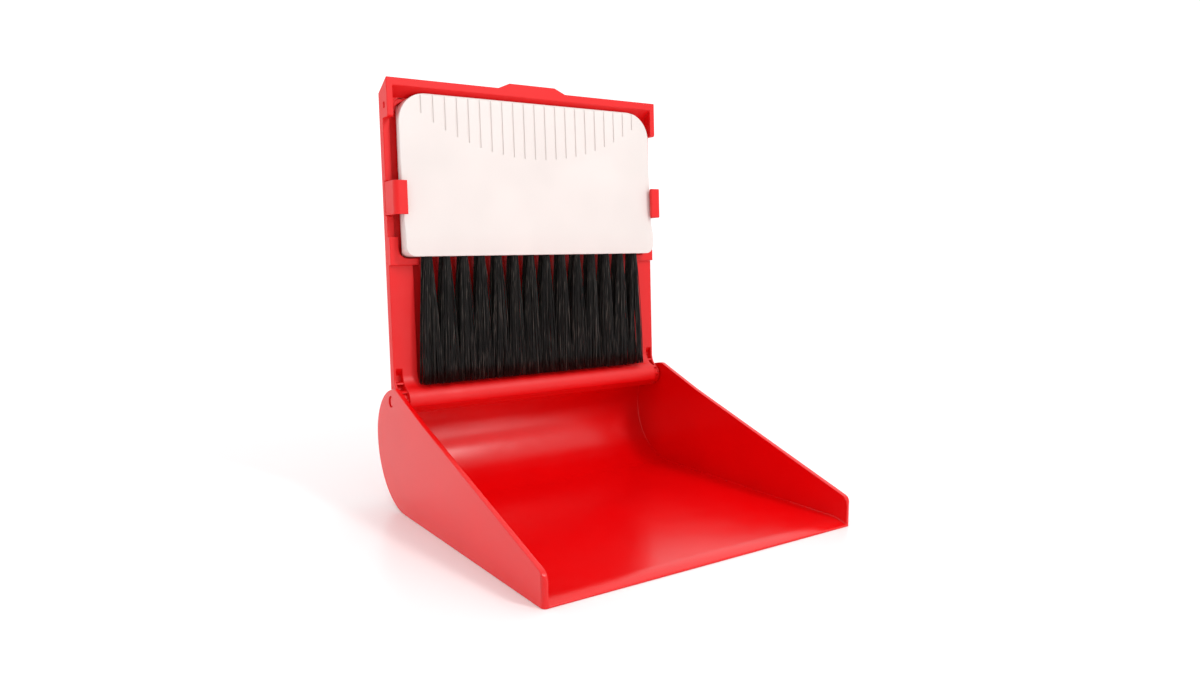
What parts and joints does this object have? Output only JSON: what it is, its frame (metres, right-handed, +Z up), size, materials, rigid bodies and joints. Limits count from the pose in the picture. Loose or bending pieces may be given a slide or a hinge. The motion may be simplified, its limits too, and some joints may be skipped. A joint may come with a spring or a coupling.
{
  "type": "folding dust pan and brush set",
  "caption": "Scoop pan with sloped side walls, a hinged lid that stands up or folds shut, and a flat hand brush stored in the lid.",
  "frame": {"origin": "on the floor plane, under the middle of the object's bounding box", "axes": "+Z up, -Y out of the mouth of the pan, +X to the right of someone who faces the mouth"},
  "size_m": [0.17, 0.17, 0.2176],
  "materials": {
    "red_shell": "semi-gloss moulded",
    "white_handle": "fine matte moulded",
    "black_bristle": "drawn filament"
  },
  "bodies": {
    "pan_body": {"pan": "red_shell", "hinge_pin_left": "red_shell", "hinge_pin_right": "red_shell"},
    "lid_body": {"lid": "red_shell"},
    "clip_left_body": {"clip_left": "red_shell"},
    "clip_right_body": {"clip_right": "red_shell"},
    "brush_body": {"brush_handle": "white_handle"},
    "bristle_body": {"tuft_01": "black_bristle", "tuft_02": "black_bristle", "tuft_03": "black_bristle", "tuft_04": "black_bristle", "tuft_05": "black_bristle", "tuft_06": "black_bristle", "tuft_07": "black_bristle", "tuft_08": "black_bristle", "tuft_09": "black_bristle", "tuft_10": "black_bristle", "tuft_11": "black_bristle", "tuft_12": "black_bristle", "tuft_13": "black_bristle", "tuft_14": "black_bristle"}
  },
  "joints": [
    {"name": "lid_hinge", "type": "hinge", "parent": "pan_body", "child": "lid_body", "pos_m": [0, 0.0646, 0.0548], "axis": [1, 0, 0], "range_deg": [0, 110]},
    {"name": "brush_slide", "type": "slide", "parent": "lid_body", "child": "brush_body", "axis": [0, 0.999, -0.0436], "range_m": [-0.09, 0]},
    {"name": "clip_left_flex", "type": "hinge", "parent": "lid_body", "child": "clip_left_body", "pos_m": [-0.0811, 0.07302, 0.15603], "axis": [0, 0.0436, 0.999], "range_deg": [-6, 0], "stiffness_Nm_per_rad": 0.5},
    {"name": "clip_right_flex", "type": "hinge", "parent": "lid_body", "child": "clip_right_body", "pos_m": [0.0811, 0.07302, 0.15603], "axis": [0, -0.0436, -0.999], "range_deg": [-6, 0], "stiffness_Nm_per_rad": 0.5},
    {"name": "bristle_flex", "type": "hinge", "parent": "brush_body", "child": "bristle_body", "pos_m": [0, 0.06476, 0.12726], "axis": [1, 0, 0], "range_deg": [-10, 0], "stiffness_Nm_per_rad": 0.3}
  ]
}
